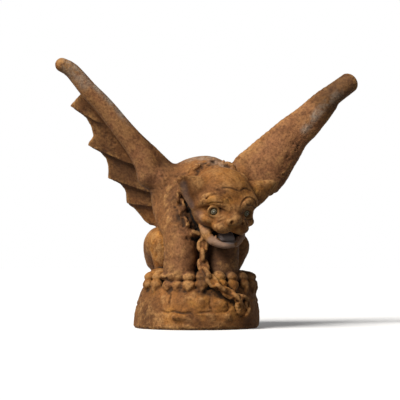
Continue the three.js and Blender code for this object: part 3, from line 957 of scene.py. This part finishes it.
def stone_material():
    # Weathered stone colour with painted shade and painted highlights mixed in
    material = bpy.data.materials.new("weathered_stone_and_painted_light")
    material.use_nodes = True
    tree = material.node_tree
    tree.nodes.clear()

    def node(kind, **values):
        made = tree.nodes.new(kind)
        for name, value in values.items():
            setattr(made, name, value)
        return made

    def feed(target, socket, source):
        tree.links.new(source, target.inputs[socket])

    place = node("ShaderNodeTexCoord").outputs["Object"]

    def pattern(scale, detail=4.0, rough=0.55):
        made = node("ShaderNodeTexNoise")
        feed(made, "Vector", place)
        made.inputs["Scale"].default_value = scale
        made.inputs["Detail"].default_value = detail
        made.inputs["Roughness"].default_value = rough
        return made.outputs["Fac"]

    def ramp(source, stops):
        made = node("ShaderNodeValToRGB")
        feed(made, "Fac", source)
        marks = made.color_ramp.elements
        while len(marks) < len(stops):
            marks.new(0.5)
        for mark, (position, color) in zip(marks, stops):
            mark.position = position
            mark.color = (*color, 1)
        return made.outputs["Color"]

    def mask(name):
        return node("ShaderNodeAttribute", attribute_name=name).outputs["Fac"]

    def mix(share, first, second, mode="MIX"):
        made = node("ShaderNodeMix", data_type="RGBA", blend_type=mode)
        for socket, value in ((0, share), (6, first), (7, second)):
            if isinstance(value, (int, float)):
                made.inputs[socket].default_value = value
            elif isinstance(value, tuple):
                made.inputs[socket].default_value = (*value, 1)
            else:
                tree.links.new(value, made.inputs[socket])
        return made.outputs[2]

    def times(a, b):
        made = node("ShaderNodeMath", operation="MULTIPLY")
        for socket, value in enumerate((a, b)):
            if isinstance(value, (int, float)):
                made.inputs[socket].default_value = value
            else:
                tree.links.new(value, made.inputs[socket])
        return made.outputs[0]

    def from_spot(spot, near, far):
        """1 inside `near` millimetres of a place on the piece, 0 beyond `far`."""
        made = node("ShaderNodeVectorMath", operation="DISTANCE")
        feed(made, 0, place)
        made.inputs[1].default_value = spot * 0.001
        return steps(made.outputs["Value"], far * 0.001, near * 0.001)

    def steps(source, low, high):
        made = node("ShaderNodeMapRange", interpolation_type="SMOOTHSTEP")
        feed(made, "Value", source)
        made.inputs["From Min"].default_value = low
        made.inputs["From Max"].default_value = high
        return made.outputs[0]

    colour = ramp(pattern(13, 6, 0.62), [
        (0.3, (0.095, 0.037, 0.013)), (0.47, (0.19, 0.075, 0.022)), (0.6, (0.28, 0.112, 0.03)), (0.75, (0.36, 0.155, 0.044)),
    ])
    colour = mix(times(mask("dull"), 0.75), colour, ramp(pattern(22, 5, 0.6), [
        (0.35, (0.085, 0.038, 0.018)), (0.55, (0.18, 0.08, 0.034)), (0.7, (0.25, 0.112, 0.046))]))
    # rosy stone tone and painted sheen on the wing arms and one front leg
    colour = mix(times(mask("rose_and_sheen"), 0.8), colour, ramp(pattern(30, 5, 0.6), [
        (0.35, (0.2, 0.083, 0.034)), (0.52, (0.31, 0.132, 0.058)), (0.68, (0.4, 0.185, 0.088))]))
    ochre = ramp(pattern(40, 5, 0.6), [
        (0.35, (0.22, 0.083, 0.018)), (0.52, (0.38, 0.155, 0.032)), (0.68, (0.52, 0.26, 0.068))])
    colour = mix(times(mask("ochre"), steps(pattern(24, 5, 0.6), 0.36, 0.6)), colour, ochre)
    # painted highlight: light ochre laid in patches on the convex ridges
    colour = mix(times(mask("ridge_highlight"), steps(pattern(60, 4, 0.6), 0.35, 0.6)), colour, (0.4, 0.2, 0.07))
    colour = mix(times(mask("lichen"), steps(pattern(55, 6, 0.7), 0.38, 0.62)), colour, (0.4, 0.33, 0.26))
    grain = ramp(pattern(240, 4, 0.65), [(0.32, (0.5, 0.48, 0.46)), (0.5, (0.95, 0.95, 0.95)), (0.68, (1.3, 1.28, 1.22))])
    colour = mix(0.85, colour, grain, "MULTIPLY")
    colour = mix(times(mask("mauve"), 0.6), colour, (0.17, 0.115, 0.1))
    colour = mix(times(mask("lip"), steps(pattern(70, 4, 0.6), 0.3, 0.5)), colour, (0.4, 0.25, 0.17))
    # painted shade: the face's furrows darkened along their length
    colour = mix(times(mask("line"), 0.75), colour, (0.03, 0.014, 0.006))
    # painted shade: the shade patches darkened towards near-black
    colour = mix(times(mask("painted_shade_patches"), 0.62), colour, (0.04, 0.02, 0.01))
    # painted shade: hollows and creases darkened almost to black by the deep mask
    colour = mix(mask("deep"), colour, (0.012, 0.008, 0.005))
    colour = mix(times(mask("tongue"), 0.85), colour, (0.3, 0.27, 0.27))
    for side, centre in EYES.items():
        pupil = HEAD.at(centre + 7.2 * GAZES[side])
        # Discs about the eyeball's front: ochre lids, a dark ring of painted shade in the crease between lid and
        # eyeball, a pale grey-green iris, a dark ring of painted shade in the pupil's groove, and a pale dot in the
        # middle that is a painted highlight
        rings = ((8.6, 9.4, (0.3, 0.15, 0.05)), (5.6, 6.4, (0.05, 0.03, 0.016)), (4.6, 5.2, (0.36, 0.32, 0.2)),
                 (2.5, 3, (0.03, 0.022, 0.015)), (1.1, 1.7, (0.5, 0.47, 0.38)))
        for near, far, tint in rings:
            colour = mix(times(from_spot(pupil, near, far), 0.85), colour, tint)
    shader = node("ShaderNodeBsdfPrincipled")
    feed(shader, "Base Color", colour)
    shader.inputs["Roughness"].default_value = 0.72
    shader.inputs["Specular IOR Level"].default_value = 0.18
    bump = node("ShaderNodeBump")
    bump.inputs["Strength"].default_value = 0.8
    bump.inputs["Distance"].default_value = 0.0016
    feed(bump, "Height", pattern(420, 5, 0.7))
    feed(shader, "Normal", bump.outputs["Normal"])
    output = node("ShaderNodeOutputMaterial")
    feed(output, "Surface", shader.outputs["BSDF"])
    return material


# ---------------------------------------------------------------- studio

CAMERA_AZIMUTH = -13
CAMERA_DISTANCE = 2.3
CAMERA_HEIGHT = 0.11
AIM_ASIDE = 0.00664
AIM_HEIGHT = 0.2108


def aim(thing, place, target):
    thing.location = place
    direction = np.array(target, float) - np.array(place, float)
    flat = math.hypot(direction[0], direction[1])
    thing.rotation_euler = (math.pi / 2 + math.atan2(direction[2], flat), 0, math.atan2(-direction[0], direction[1]))


KEY_LIGHT = 4.6
FILL_LIGHT = 0.1
SKY_LIGHT = 0.12


def sky(scene):
    """A dim white room for the stone, in front of a white paper sweep for the eye."""
    world = bpy.data.worlds.new("studio")
    scene.world = world
    world.use_nodes = True
    tree = world.node_tree
    room = tree.nodes["Background"]
    room.inputs["Color"].default_value = (1, 1, 1, 1)
    room.inputs["Strength"].default_value = SKY_LIGHT
    backdrop = tree.nodes.new("ShaderNodeBackground")
    backdrop.inputs["Color"].default_value = (1, 1, 1, 1)
    backdrop.inputs["Strength"].default_value = 1
    seen = tree.nodes.new("ShaderNodeLightPath")
    choice = tree.nodes.new("ShaderNodeMixShader")
    tree.links.new(seen.outputs["Is Camera Ray"], choice.inputs[0])
    tree.links.new(room.outputs[0], choice.inputs[1])
    tree.links.new(backdrop.outputs[0], choice.inputs[2])
    tree.links.new(choice.outputs[0], tree.nodes["World Output"].inputs["Surface"])


def studio():
    scene = bpy.context.scene
    azimuth = math.radians(CAMERA_AZIMUTH)
    right = np.array([math.cos(azimuth), math.sin(azimuth), 0])
    back = np.array([math.sin(azimuth), -math.cos(azimuth), 0])
    lens = bpy.data.cameras.new("camera")
    lens.lens = 124.8
    lens.sensor_width = 36
    lens.clip_end = 50
    camera = bpy.data.objects.new("camera", lens)
    scene.collection.objects.link(camera)
    aim(camera, AIM_ASIDE * right + CAMERA_DISTANCE * back + (0, 0, CAMERA_HEIGHT), AIM_ASIDE * right + (0, 0, AIM_HEIGHT))
    scene.camera = camera

    for name, place, width, power, color in (
        ("key", -0.95 * right + 1.0 * back + (0, 0, 1.2), 30, KEY_LIGHT, (1, 0.975, 0.94)),
        ("fill", 1.3 * right + 0.9 * back + (0, 0, 0.35), 50, FILL_LIGHT, (0.93, 0.96, 1)),
    ):
        lamp = bpy.data.lights.new(name, "SUN")
        lamp.angle = math.radians(width)
        lamp.energy = power
        lamp.color = color
        thing = bpy.data.objects.new(name, lamp)
        scene.collection.objects.link(thing)
        aim(thing, place, (0, 0, 0))
    sky(scene)

    bpy.ops.mesh.primitive_plane_add(size=30, location=(0, 0, 0))
    floor = bpy.context.object
    floor.name = "floor"
    paper = bpy.data.materials.new("paper")
    paper.use_nodes = True
    sheet = paper.node_tree.nodes["Principled BSDF"]
    sheet.inputs["Base Color"].default_value = (0.95, 0.95, 0.95, 1)
    sheet.inputs["Emission Color"].default_value = (1, 1, 1, 1)
    sheet.inputs["Emission Strength"].default_value = 0.12
    sheet.inputs["Roughness"].default_value = 0.9
    floor.data.materials.append(paper)
    floor.visible_diffuse = False
    scene.view_settings.view_transform = "Standard"


piece = casting()
piece.data.materials.append(stone_material())
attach(piece, "root")
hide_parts("gargoyle")
studio()
